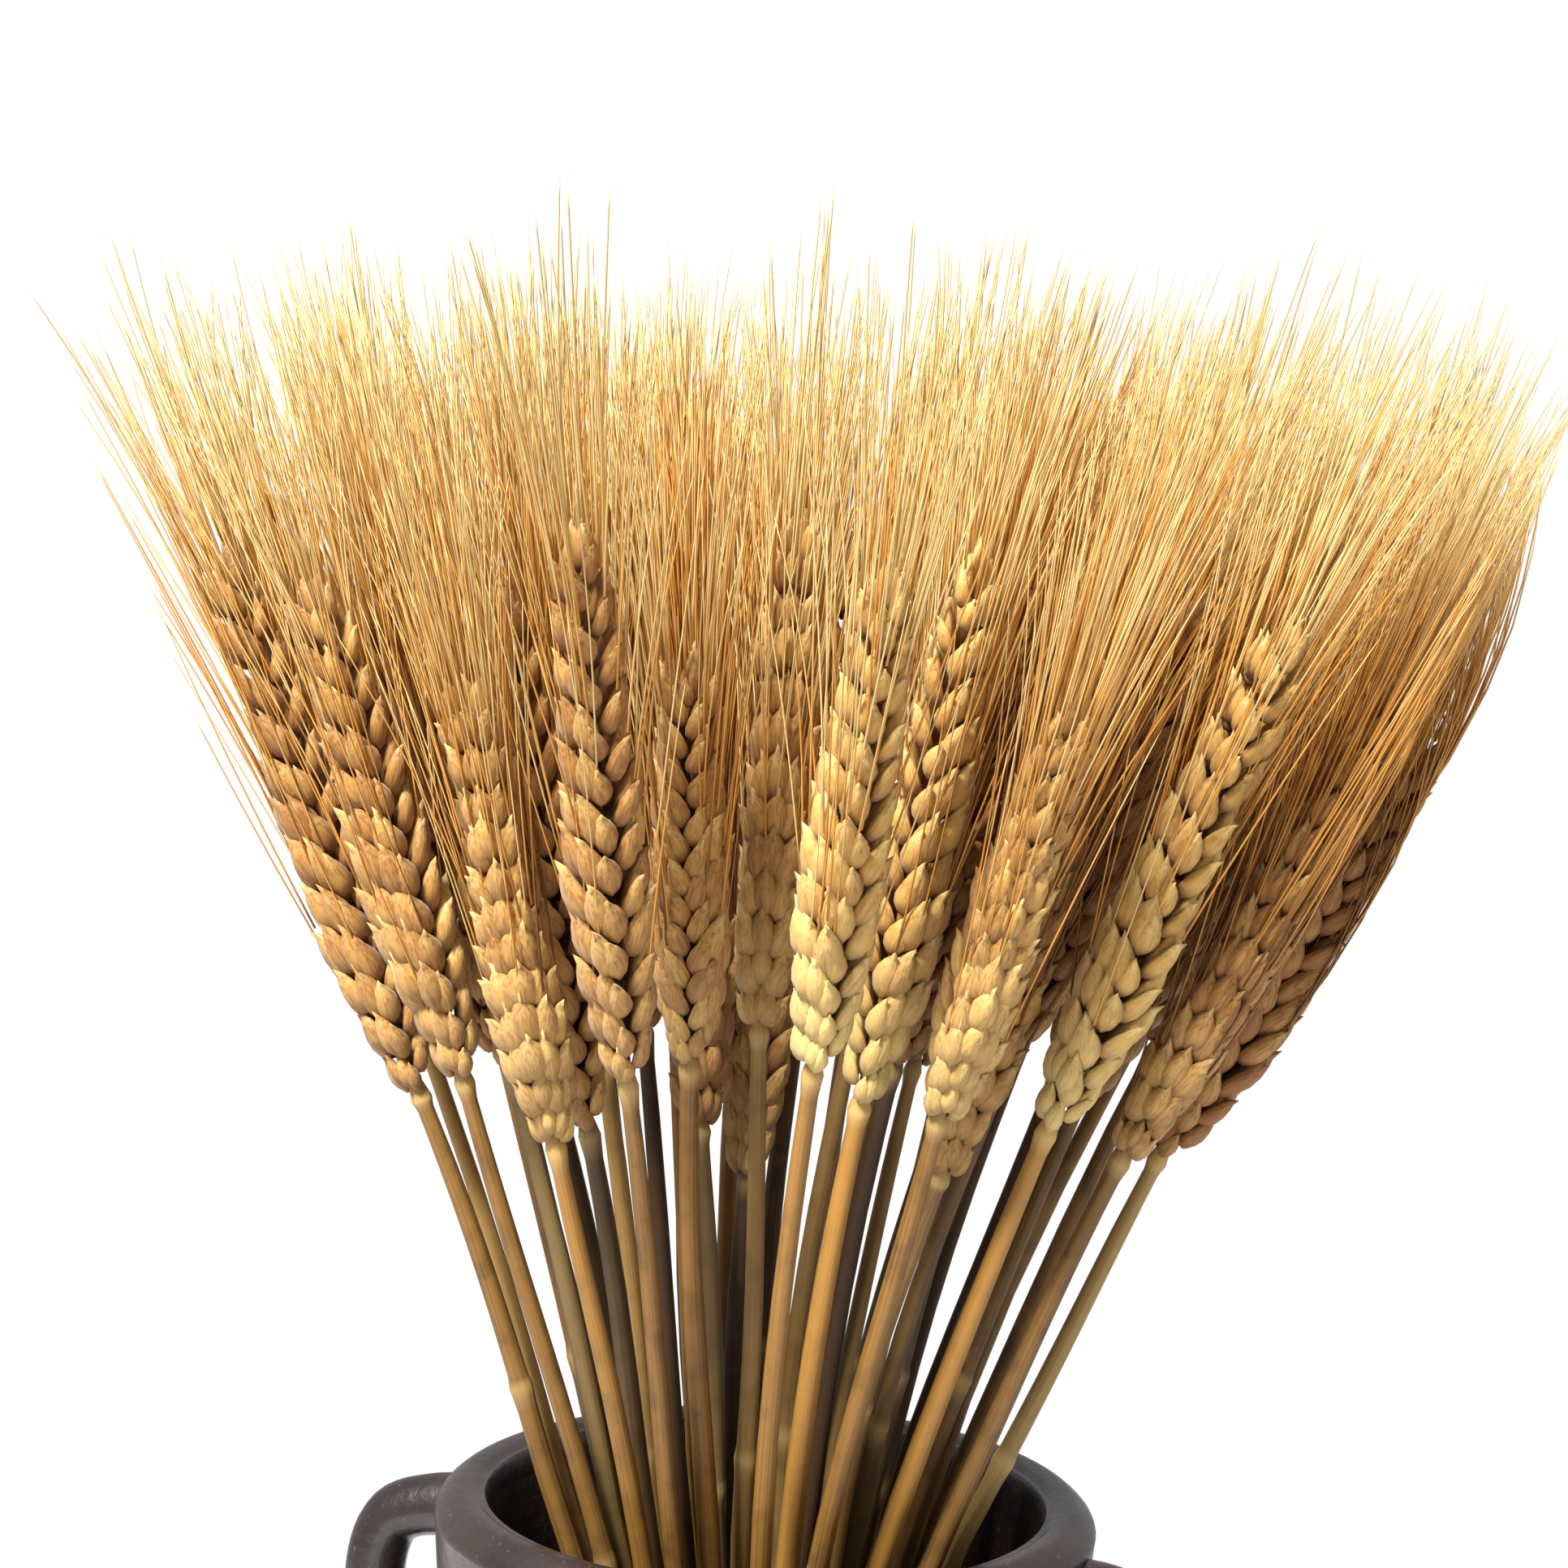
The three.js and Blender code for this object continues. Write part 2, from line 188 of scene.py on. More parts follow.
class Mixer:
    """The nodes of one finish, put together for its material."""

    def __init__(self, name: str) -> None:
        """Starts an empty material of that name."""
        self.material = bpy.data.materials.new(name)
        self.material.use_nodes = True
        self.tree = self.material.node_tree
        self.tree.nodes.clear()

    def add(
        self, kind: str, settings: dict | None = None, inputs: dict | None = None
    ) -> bpy.types.Node:
        """Adds a node.

        Args:
            kind: The node's type.
            settings: Its settings by name, set first.
            inputs: The value or wire of each socket, by the socket's name or number.

        Returns:
            The node.
        """
        node = self.tree.nodes.new(kind)
        for name, value in (settings or {}).items():
            setattr(node, name, value)
        for socket, value in (inputs or {}).items():
            if isinstance(value, Wire):
                self.tree.links.new(value.socket, node.inputs[socket])
            else:
                node.inputs[socket].default_value = value
        return node

    def wire(self, node: bpy.types.Node, output: str | int = 0) -> "Wire":
        """One output of a node as a wire."""
        return Wire(self, node.outputs[output])

    def noise(self, place: "Wire", scale: float, detail: float = 2, roughness: float = 0.5) -> "Wire":
        """Soft noise of 0 to 1 at a place."""
        inputs = {"Vector": place, "Scale": scale, "Detail": detail, "Roughness": roughness}
        return self.wire(self.add("ShaderNodeTexNoise", inputs=inputs), "Fac")

    def stretch(self, place: "Wire", scale: tuple[float, float, float]) -> "Wire":
        """A place with each of its directions scaled by its own number."""
        node = self.add("ShaderNodeVectorMath", {"operation": "MULTIPLY"}, {0: place, 1: scale})
        return self.wire(node)

    def step(self, value: "Wire", low: float, high: float) -> "Wire":
        """0 below low, 1 above high, and a soft change between them."""
        settings = {"interpolation_type": "SMOOTHSTEP"}
        inputs = {"Value": value, "From Min": low, "From Max": high}
        return self.wire(self.add("ShaderNodeMapRange", settings, inputs))

    def blend(self, share: "Wire | float", first: "Wire | Colour", second: "Wire | Colour") -> "Wire":
        """The first colour where the share is 0, and the second one where it is 1."""
        node = self.add("ShaderNodeMix", {"data_type": "RGBA"}, {0: share, 6: first, 7: second})
        return self.wire(node, 2)

    def relief(self, height: "Wire", strength: float, distance: float) -> "Wire":
        """A bumpy surface from a height; the distance is in metres."""
        inputs = {"Height": height, "Strength": strength, "Distance": distance}
        return self.wire(self.add("ShaderNodeBump", inputs=inputs))

    def surface(self, inputs: dict) -> bpy.types.Material:
        """Ends the finish with its surface shader, and returns the material."""
        shader = self.wire(self.add("ShaderNodeBsdfPrincipled", inputs=inputs))
        self.add("ShaderNodeOutputMaterial", inputs={"Surface": shader})
        return self.material


class Wire:
    """A number that runs through a finish's nodes, and takes part in sums as a number does."""

    def __init__(self, mixer: Mixer, socket: bpy.types.NodeSocket) -> None:
        """Holds one output socket of a mixer's node."""
        self.mixer = mixer
        self.socket = socket

    def _sum(self, operation: str, first: "Wire | float", second: "Wire | float") -> "Wire":
        """A Math node on two numbers."""
        settings = {"operation": operation}
        return self.mixer.wire(self.mixer.add("ShaderNodeMath", settings, {0: first, 1: second}))

    def __add__(self, other: "Wire | float") -> "Wire":
        """self + other"""
        return self._sum("ADD", self, other)

    __radd__ = __add__

    def __sub__(self, other: "Wire | float") -> "Wire":
        """self - other"""
        return self._sum("SUBTRACT", self, other)

    def __rsub__(self, other: "Wire | float") -> "Wire":
        """other - self"""
        return self._sum("SUBTRACT", other, self)

    def __mul__(self, other: "Wire | float") -> "Wire":
        """self * other"""
        return self._sum("MULTIPLY", self, other)

    __rmul__ = __mul__

    def __pow__(self, other: float) -> "Wire":
        """self ** other"""
        return self._sum("POWER", self, other)


@dataclass(frozen=True)
class StrawFinish:
    """Dry straw: streaked along its growth, darker at the root than at the tip, no copies alike. The
    dark root is painted shade between husks, and on awns partly painted shade low in the bouquet; each
    stalk's tone is partly painted light and shade.
    """

    name: str
    root: Colour
    body: Colour
    tip: Colour
    shade: Colour
    pale: Colour
    roughness: float
    streaks_across: float
    streaks_along: float
    streak_share: float
    relief: float
    unlike: float = 0.25
    age: float = 0.65
    sheen: float = 0.0

    def make(self) -> bpy.types.Material:
        """Builds the material. It reads the grain and the tint that every straw mesh carries."""
        mixer = Mixer(self.name)
        grain = mixer.wire(mixer.add("ShaderNodeAttribute", {"attribute_name": "grain"}), "Vector")
        tint = mixer.add("ShaderNodeAttribute", {"attribute_name": "tint"})
        parts = mixer.add("ShaderNodeSeparateColor", inputs={0: mixer.wire(tint, "Color")})
        copy, reach, stalk = (mixer.wire(parts, i) for i in range(3))
        across, along = self.streaks_across, self.streaks_along
        streaks = mixer.noise(mixer.stretch(grain, (across, across, along)), 1.0, 3, 0.6)
        stains = mixer.noise(grain, 0.22, 2)
        # The root colour: painted shade in the gaps between husks; on awns, whose reach is set by
        # height, partly painted shade low in the bouquet.
        colour = mixer.blend(mixer.step(reach, 0.0, 0.45), self.root, self.body)
        colour = mixer.blend(mixer.step(reach, 0.5, 1.0), colour, self.tip)
        dull = mixer.step(streaks, 0.4, 0.75) * self.streak_share
        dull = dull + mixer.step(stains, 0.45, 0.75) * 0.2 + (1 - copy) * self.unlike
        # A low stalk tone darkens the straw: partly its own colour, partly painted shade.
        dull = dull + (1 - stalk) * self.age
        colour = mixer.blend(mixer.step(dull, 0.0, 1.3), colour, self.shade)
        colour = mixer.blend(mixer.wire(tint, "Alpha") * (1 - dull * 0.4), colour, self.pale)
        return mixer.surface(
            {
                "Base Color": colour,
                "Roughness": self.roughness + streaks * 0.15,
                "Specular IOR Level": 0.35,
                "Sheen Weight": self.sheen,
                "Normal": mixer.relief(streaks, self.relief, 0.0003),
            }
        )


@dataclass(frozen=True)
class GlazeFinish:
    """Stoneware under a dull dark glaze, broken by pale specks."""

    name: str = "dull_brown_glaze"
    deep: Colour = paint(22, 13, 12)
    worn: Colour = paint(44, 30, 27)
    speck: Colour = paint(88, 74, 66)
    pit: Colour = paint(11, 7, 6)

    def make(self) -> bpy.types.Material:
        """Builds the material on Object coordinates, in metres."""
        mixer = Mixer(self.name)
        place = mixer.wire(mixer.add("ShaderNodeTexCoord"), "Object")
        clouds = mixer.noise(place, 38, 4, 0.6)
        fine = mixer.noise(place, 520, 3, 0.6)
        dots = mixer.noise(place, 900, 1)
        rings = mixer.noise(mixer.stretch(place, (4, 4, 420)), 1.0, 2)
        colour = mixer.blend(mixer.step(clouds, 0.32, 0.68), self.deep, self.worn)
        colour = mixer.blend(mixer.step(fine, 0.5, 0.78) * 0.5, colour, self.pit)
        colour = mixer.blend(mixer.step(dots, 0.68, 0.78) * 0.45, colour, self.speck)
        height = fine * 0.5 + rings * 0.35 + clouds * 0.8
        return mixer.surface(
            {
                "Base Color": colour,
                "Roughness": 0.26 + fine * 0.2 + clouds * 0.14,
                "Specular IOR Level": 0.55,
                "Coat Weight": 0.35,
                "Coat Roughness": 0.12,
                "Normal": mixer.relief(height, 0.35, 0.0012),
            }
        )


class Straw(Enum):
    """The parts of a stalk that have a finish of their own, by their slot in its mesh."""

    STEM = 0
    HUSK = 1
    AWN = 2


STRAW_FINISHES = {
    Straw.STEM: StrawFinish(
        name="straw_stem",
        root=paint(124, 87, 37),
        body=paint(148, 105, 43),
        tip=paint(168, 120, 52),
        shade=paint(56, 37, 18),
        pale=paint(204, 172, 106),
        roughness=0.44,
        streaks_across=3.2,
        streaks_along=0.03,
        streak_share=0.28,
        relief=0.3,
        unlike=0.8,
        age=0.62,
    ),
    Straw.HUSK: StrawFinish(
        name="straw_husk",
        # A husk's dark root colour is painted shade, for the gaps where husks crowd together.
        root=paint(100, 62, 26),
        body=paint(199, 155, 79),
        tip=paint(228, 197, 124),
        shade=paint(132, 80, 32),
        pale=paint(214, 196, 130),
        roughness=0.5,
        streaks_across=2.4,
        streaks_along=0.16,
        streak_share=0.5,
        relief=0.6,
        unlike=0.35,
        sheen=0.1,
    ),
    Straw.AWN: StrawFinish(
        name="straw_awn",
        # Awns take this root colour low in the bouquet: partly their own darker bases, partly painted
        # shade.
        root=paint(96, 55, 23),
        body=paint(213, 152, 66),
        tip=paint(230, 206, 142),
        shade=paint(166, 112, 48),
        pale=paint(244, 222, 160),
        roughness=0.5,
        streaks_across=1.0,
        streaks_along=0.05,
        streak_share=0.2,
        relief=0.0,
        age=0.35,
    ),
}


# The plan of the bouquet


@dataclass(frozen=True)
class Stalk:
    """The place of one stalk in the bouquet's disc, and the size and turn of its ear."""

    number: int
    across: float
    depth: float
    ear_base: float
    ear_length: float
    turn: float


@dataclass(frozen=True)
class Draws:
    """Seeded draws between 0 and 1 by a rule that any language can repeat."""

    seed: int
    factor: int = 16807
    limit: int = 2147483647

    def stream(self) -> Iterator[float]:
        """The draws, one after another."""
        state = self.seed
        while True:
            state = state * self.factor % self.limit
            yield state / self.limit


@dataclass(frozen=True)
class Bouquet:
    """Where every stalk runs: each keeps its place in a disc that widens from the jar's floor up."""

    stalk_count: int = 44
    jar_height: float = 165.0
    floor_thickness: float = 9.0
    clearance: float = 0.3
    mouth_spread: float = 31.0
    floor_spread: float = 25.0
    fan_slope: float = 0.37
    fan_curve: float = 0.0007
    depth_ratio: float = 0.88
    floor_centre_y: float = 3.0
    mouth_centre_y: float = -9.0
    lean_x: float = 0.03
    lean_curve: float = 0.0004
    bend: float = 1.0

    def stalks(self) -> list[Stalk]:
        """The front stalks as listed, and each other one at the free place furthest from all."""
        draws = Draws(9077).stream()
        rows = [tuple(row) for row in FRONT_STALKS]
        while len(rows) < self.stalk_count:
            best, best_gap = (0.0, 0.0), -1.0
            for _ in range(300):
                across, depth = 2 * next(draws) - 1, 2 * next(draws) - 1
                if math.hypot(across, depth) > 1:
                    continue
                gap = min(math.hypot(row[0] - across, row[1] - depth) for row in rows)
                if gap > best_gap:
                    best, best_gap = (across, depth), gap
            across, depth = best
            base = 60 + 6 * depth + 16 * next(draws)
            rows.append((across, depth, base, 72 + 12 * next(draws), 180 * next(draws)))
        return [Stalk(number, *row) for number, row in enumerate(rows)]

    def spread(self, z: Array) -> Array:
        """Radius of the bouquet's disc at heights z."""
        run = self.jar_height - self.floor_thickness
        t = np.clip((z - self.floor_thickness) / run, 0, 1)
        fall = 2 * t**3 - 3 * t**2 + 1
        inside = fall * self.floor_spread + (1 - fall) * self.mouth_spread
        inside = inside + (t**3 - t**2) * run * self.fan_slope
        above = z - self.jar_height
        fan = self.mouth_spread + self.fan_slope * above + self.fan_curve * above**2
        return np.where(above >= 0, fan, inside)

    def line(self, stalk: Stalk, z: Array) -> Array:
        """The points of a stalk's line at heights z."""
        spread = self.spread(z)
        rise = np.clip((z - self.floor_thickness) / (self.jar_height - self.floor_thickness), 0, 1)
        centre_y = self.floor_centre_y + (self.mouth_centre_y - self.floor_centre_y) * rise
        bow = np.clip((z - self.jar_height) / stalk.ear_base, 0, 1)
        bend = self.bend * np.sin(np.pi * bow)
        angle = 2.4 * stalk.number
        above = np.maximum(0, z - self.jar_height)
        x = spread * stalk.across + self.lean_x * above
        x = x + self.lean_curve * above**2 + bend * math.cos(angle)
        y = spread * stalk.depth * self.depth_ratio + centre_y + bend * math.sin(angle)
        return np.stack([x, y, z], axis=-1)

    def ear_frame(self, stalk: Stalk) -> tuple[Array, Array]:
        """Where a stalk's ear stands.

        Args:
            stalk: The stalk that bears the ear.

        Returns:
            The ear's foot, and its axes as columns: across its rows, out of its face, and along it.
        """
        start = self.jar_height + stalk.ear_base
        foot, below, above = self.line(stalk, np.array([start, start + 19, start + 21]))
        along = unit(above - below)
        turn = math.radians(stalk.turn)
        face = unit(np.cross(along, (math.cos(turn), math.sin(turn), 0)))
        return foot, np.stack([np.cross(face, along), face, along], axis=1)


# Straw: shapes modelled once, and gathered as copies


@dataclass(frozen=True)
class Pattern:
    """A modelled shape, read from its object to be copied: corners in millimetres, and faces."""

    points: Array
    corners: Array
    sizes: Array
    reach: Array

    @classmethod
    def read(cls, piece: bpy.types.Object) -> "Pattern":
        """Reads a modelled object whose root is at z = 0, and removes the object."""
        mesh = piece.data
        points = np.empty(len(mesh.vertices) * 3)
        mesh.vertices.foreach_get("co", points)
        points = points.reshape(-1, 3) / MM
        corners = np.empty(len(mesh.loops), int)
        mesh.loops.foreach_get("vertex_index", corners)
        sizes = np.empty(len(mesh.polygons), int)
        mesh.polygons.foreach_get("loop_total", sizes)
        reach = np.clip(points[:, 2] / points[:, 2].max(), 0, 1)
        bpy.data.objects.remove(piece)
        bpy.data.meshes.remove(mesh)
        return cls(points, corners, sizes, reach)


@dataclass
class Sheaf:
    """Copies of patterns, each with its own corners, gathered to one mesh."""

    # The stalk's tone: partly its own colour, partly painted light and shade.
    stalk_tone_and_light: float
    chance: random.Random
    points: list[Array] = field(default_factory=list)
    grain: list[Array] = field(default_factory=list)
    tint: list[Array] = field(default_factory=list)
    corners: list[Array] = field(default_factory=list)
    sizes: list[Array] = field(default_factory=list)
    slots: list[Array] = field(default_factory=list)
    count: int = 0

    def lay(
        self,
        pattern: Pattern,
        points: Array,
        part: Straw,
        tone: float | None = None,
        mark: Array | float = 0.0,
        reach: Array | None = None,
    ) -> None:
        """Adds one copy.

        Args:
            pattern: The shape that is copied.
            points: Where its corners go, in millimetres.
            part: Which part of the stalk it is.
            tone: How light this copy is, from 0 to 1, or None for a drawn one.
            mark: How much each corner takes the part's pale colour, from 0 to 1.
            reach: How far along its growth each corner is, or None for the pattern's own.
        """
        tone = self.chance.random() if tone is None else tone
        offset = np.array([self.chance.uniform(-40, 40) for _ in range(3)])
        number = len(pattern.points)
        tint = np.empty((number, 4))
        reach = pattern.reach if reach is None else reach
        tint.T[:] = np.broadcast_arrays(tone, reach, self.stalk_tone_and_light, mark)
        self.points.append(points)
        self.grain.append(pattern.points + offset)
        self.tint.append(tint)
        self.corners.append(pattern.corners + self.count)
        self.sizes.append(pattern.sizes)
        self.slots.append(np.full(len(pattern.sizes), part.value))
        self.count += number

    def bind(self, name: str, finishes: list[bpy.types.Material]) -> bpy.types.Object:
        """Makes the gathered copies one object.

        Args:
            name: The object's name.
            finishes: Its materials, in the order of the stalk's parts.

        Returns:
            The object, at the origin, with smooth faces.
        """
        mesh = bpy.data.meshes.new(name)
        corners, sizes = np.concatenate(self.corners), np.concatenate(self.sizes)
        mesh.vertices.add(self.count)
        mesh.vertices.foreach_set("co", (np.concatenate(self.points) * MM).ravel())
        mesh.loops.add(len(corners))
        mesh.loops.foreach_set("vertex_index", corners)
        mesh.polygons.add(len(sizes))
        mesh.polygons.foreach_set("loop_start", np.cumsum(sizes) - sizes)
        mesh.polygons.foreach_set("material_index", np.concatenate(self.slots))
        mesh.polygons.foreach_set("use_smooth", np.ones(len(sizes), bool))
        mesh.update(calc_edges=True)
        mesh.attributes.new("grain", "FLOAT_VECTOR", "POINT").data.foreach_set(
            "vector", np.concatenate(self.grain).ravel()
        )
        mesh.attributes.new("tint", "FLOAT_COLOR", "POINT").data.foreach_set(
            "color", np.concatenate(self.tint).ravel()
        )
        for finish in finishes:
            mesh.materials.append(finish)
        piece = bpy.data.objects.new(name, mesh)
        bpy.context.scene.collection.objects.link(piece)
        return piece


@dataclass(frozen=True)
class HuskShape:
    """A plump pointed husk, its back to +Y and its tip up."""

    width: float
    thickness: float
    length: float
    beak: float
    rings: tuple[tuple[float, float, float], ...] = (
        (0.05, 1.25, 0.0),
        (0.19, 1.12, 0.0),
        (0.39, 1.06, 0.0),
        (0.61, 0.94, 0.0),
        (0.81, 0.74, 0.02),
        (0.95, 0.46, 0.05),
    )

    def model(self) -> Pattern:
        """Models the husk from a ball: full low down, with a beak, flat inside, keeled outside."""
        put_down()
        bpy.ops.mesh.primitive_uv_sphere_add(segments=8, ring_count=7, radius=0.5 * MM)
        husk = bpy.context.object
        length = self.length * MM
        with at_work_on(husk):
            bpy.ops.mesh.select_all(action="SELECT")
            resize((self.width, self.thickness, self.length), (0, 0, 0))
            bpy.ops.transform.translate(value=(0, 0, length / 2))
            for place, scale, flare in self.rings:
                height = place * length
                choose(husk, lambda co: abs(co.z - height) < 0.03 * length)
                resize((scale, scale, 1), (0, 0, height))
                bpy.ops.transform.translate(value=(0, flare * self.width * MM, 0))
            choose(husk, lambda co: co.z > 0.99 * length)
            bpy.ops.transform.translate(value=(0, 0.09 * self.width * MM, self.beak * length))
            choose(husk, lambda co: co.y < -0.1 * MM)
            resize((1, 0.35, 1), (0, 0, length / 2))
            keel = 0.12 * self.thickness * MM
            choose(husk, lambda co: abs(co.x) < 0.1 * MM and co.y > 0.3 * MM)
            bpy.ops.transform.translate(value=(0, keel, 0))
        return Pattern.read(husk)


@dataclass(frozen=True)
class Bristle:
    """An awn: a three-sided needle of length 1, to be drawn out and bent."""

    radius: float = 0.23
    joints: tuple[float, ...] = (0.12, 0.3, 0.5, 0.72, 0.9)

    def model(self) -> Pattern:
        """Models the needle: a ring, extruded joint by joint and narrowed to its point."""
        put_down()
        bpy.ops.mesh.primitive_circle_add(vertices=3, radius=self.radius * MM, fill_type="NGON")
        needle = bpy.context.object
        with at_work_on(needle):
            bpy.ops.mesh.select_all(action="SELECT")
            bpy.ops.mesh.flip_normals()
            height, size = 0.0, 1.0
            for joint in (*self.joints, 1.0):
                rise = (joint - height) * MM
                bpy.ops.mesh.extrude_region_move(TRANSFORM_OT_translate={"value": (0, 0, rise)})
                height = joint
                want = 1.0 - 0.55 * joint
                resize((want / size, want / size, 1), (0, 0, height * MM))
                size = want
            bpy.ops.mesh.merge(type="CENTER")
            bpy.ops.mesh.select_all(action="SELECT")
            bpy.ops.mesh.normals_make_consistent(inside=False)
        return Pattern.read(needle)


@dataclass(frozen=True)
class StemShape:
    """A straw's tube of length 1 and radius 1, with close rings at its knot and its collar."""

    sides: int = 9
    knot: float = 0.5
    collar: float = 0.8
    ring_gap: float = 0.005
    steps: int = 26

    def heights(self) -> list[float]:
        """Heights of the rings above the first one."""
        close = [place + i * self.ring_gap for place in (self.knot, self.collar) for i in range(-2, 3)]
        plain = [i / self.steps for i in range(1, self.steps + 1)]
        away = [h for h in plain if all(abs(h - ring) > 2 * self.ring_gap for ring in close)]
        return sorted([*away, *close])

    def model(self) -> Pattern:
        """Models the tube: a closed ring, extruded ring by ring."""
        put_down()
        bpy.ops.mesh.primitive_circle_add(vertices=self.sides, radius=1 * MM, fill_type="NGON")
        tube = bpy.context.object
        with at_work_on(tube):
            bpy.ops.mesh.select_all(action="SELECT")
            height = 0.0
            for ring in self.heights():
                rise = (ring - height) * MM
                bpy.ops.mesh.extrude_region_move(TRANSFORM_OT_translate={"value": (0, 0, rise)})
                height = ring
            bpy.ops.mesh.select_all(action="SELECT")
            bpy.ops.mesh.normals_make_consistent(inside=False)
        return Pattern.read(tube)


@dataclass(frozen=True)
class HuskPlace:
    """How one husk sits in its spikelet."""

    shape: str
    fan: float
    aside: float
    height: float
    out: float
    roll: float
    awn: float


@dataclass
class WheatMaker:
    """Makes whole stalks of bearded wheat along the lines of the bouquet's plan."""

    plan: Bouquet
    box: tuple[Vector, Vector]
    spikelets: int = 24
    ear_top: float = 11.0
    stem_radius: float = 1.65
    awn_length: float = 68.0
    # Between these heights awns go from their root colour to their tip colour: partly their own
    # colour, partly painted shade low down and painted light high up.
    awn_dark_shaded_height: float = 264.0
    awn_pale_lit_height: float = 338.0
    gather: float = 0.003
    gather_from: float = 22.0
    edge_height: float = 245.0
    edge_at_ears: float = 73.0
    edge_slope: float = 0.5
    edge_fall: float = 0.0022
    edge_pull: float = 3.2
    edge_lift: float = 0.8
    awn_top_short: float = 22.0
    swell_share: float = 1.2
    sway_from: float = 130.0
    tilt: float = 18.0
    places: tuple[HuskPlace, ...] = (
        HuskPlace("glume", -17, -1.8, 0.0, 0.1, -58, 0.8),
        HuskPlace("glume", 17, 1.8, 0.0, 0.1, 58, 0.8),
        HuskPlace("floret", -9, -1.3, 1.1, 0.5, -30, 0.95),
        HuskPlace("floret", 9, 1.3, 1.1, 0.5, 30, 0.95),
        HuskPlace("small", 0, 0.0, 2.9, 1.2, 0, 1.0),
    )

    def __post_init__(self) -> None:
        """Models each shape once, and mixes the finishes."""
        self.shapes = {
            "glume": HuskShape(4.1, 3.5, 7.9, 0.12).model(),
            "floret": HuskShape(4.6, 4.3, 9.3, 0.15).model(),
            "small": HuskShape(4.5, 4.0, 8.4, 0.17).model(),
        }
        self.bristle = Bristle().model()
        self.tube = StemShape()
        self.stem = self.tube.model()
        self.finishes = [STRAW_FINISHES[part].make() for part in Straw]

    @staticmethod
    def girth(share: float) -> float:
        """How full the ear is at a share of its length: slim at the base, drawn in to the tip."""
        return 0.62 + 0.38 * math.sin(min(1, share / 0.3) * math.pi / 2) - 0.34 * share**2.2

    def wrap(self, stalk: Stalk, shape: Pattern, z: Array, radius: Array, sway: Array) -> Array:
        """Where a shape's corners go when it is wrapped round a stalk's line.

        Args:
            stalk: The stalk.
            shape: A shape of radius 1 round its upright axis.
            z: The height of each corner.
            radius: The radius at each corner.
            sway: How far the straw swings aside half way up to the ear, across and in depth.

        Returns:
            The corners in millimetres.
        """
        plan = self.plan
        high = plan.jar_height + stalk.ear_base
        free = np.clip((z - self.sway_from) / (high - self.sway_from), 0, 1)
        centre = plan.line(stalk, z)
        centre[:, :2] += np.outer(np.sin(np.pi * free) ** 2, sway)
        forward = unit(plan.line(stalk, z + 1) - plan.line(stalk, z - 1))
        side = unit(np.array([1.0, 0, 0]) - forward * forward[:, :1])
        back = np.cross(forward, side)
        x, y = (shape.points[:, i : i + 1] * radius[:, None] for i in range(2))
        return centre + side * x + back * y

    def lay_stem(self, sheaf: Sheaf, stalk: Stalk) -> None:
        """Lays the straw from the jar's floor up and on through the ear."""
        plan, tube, chance = self.plan, self.tube, sheaf.chance
        low, high = plan.floor_thickness + plan.clearance, plan.jar_height + stalk.ear_base
        knot = chance.uniform(110, 188)
        top = high + 0.8 * stalk.ear_length
        share = self.stem.points[:, 2]
        z = np.interp(share, [0, tube.knot, tube.collar, 1], [low, knot, high - 1.5, top])
        wide = self.swell_share * tube.ring_gap
        swell = [np.exp(-(((share - place) / wide) ** 2)) for place in (tube.knot, tube.collar)]
        full = self.stem_radius * chance.uniform(0.86, 1.08)
        heights = [low, 170, high - 12, high - 1, high + 3, top]
        radius = np.interp(z, heights, [1, 1, 0.84, 0.74, 0.4, 0.2]) * full
        radius = radius + swell[0] * 0.3 + swell[1] * 0.42
        sway = np.array([chance.uniform(-1.6, 1.6), chance.uniform(-1.0, 1.0)])
        grown = Pattern(
            np.stack([self.stem.points[:, 0] * 1.5, self.stem.points[:, 1] * 1.5, z], 1),
            self.stem.corners,
            self.stem.sizes,
            np.clip((z - low) / (high - low), 0, 1) ** 2,
        )
        pale = swell[0] * 0.55 + swell[1] * 0.8 + 0.55 * chance.random() ** 3
        points = self.wrap(stalk, self.stem, z, radius, sway)
        sheaf.lay(grown, points, Straw.STEM, chance.random(), np.minimum(pale, 1))

    def lay_awn(
        self, sheaf: Sheaf, start: Array, aim: Array, bow: Array, length: float, bleach_and_light: float
    ) -> None:
        """Lays one awn.

        Args:
            sheaf: Where it is gathered.
            start: Its root, in millimetres.
            aim: Its direction at the root.
            bow: How far its tip is bent away from that direction, in millimetres.
            length: Its length, in millimetres. A tip that would pass the bouquet's edge is pulled in,
                and one that would leave the box is drawn shorter.
            bleach_and_light: How much paler it is than the others at its height, as a share of the
                whole change; partly pale straw, partly painted light, and painted shade where it is
                below 0.
        """
        pattern = self.bristle
        share = pattern.points[:, 2:3]
        low, high = (np.array(corner) / MM for corner in self.box)
        for _ in range(8):
            tip = start + aim * length + bow
            edge = self.edge_at_ears + self.edge_slope * (tip[2] - self.edge_height)
            edge = edge * (1 - self.edge_fall * abs(tip[1]))
            if abs(tip[0]) > edge:
                bow = bow - np.array([self.edge_pull * np.sign(tip[0]), 0.0, -self.edge_lift])
            elif np.all(tip > low + 1) and np.all(tip < high - 1):
                break
            else:
                length *= 0.92
        spine = start + aim * (share * length) + bow * share**2
        side = unit(np.cross(aim, (0.3, 1.0, 0.1)))
        back = np.cross(aim, side)
        thickness = 1.0 - 0.3 * max(0.0, bleach_and_light)
        around = side * pattern.points[:, :1] + back * pattern.points[:, 1:2]
        points = spine + around * thickness
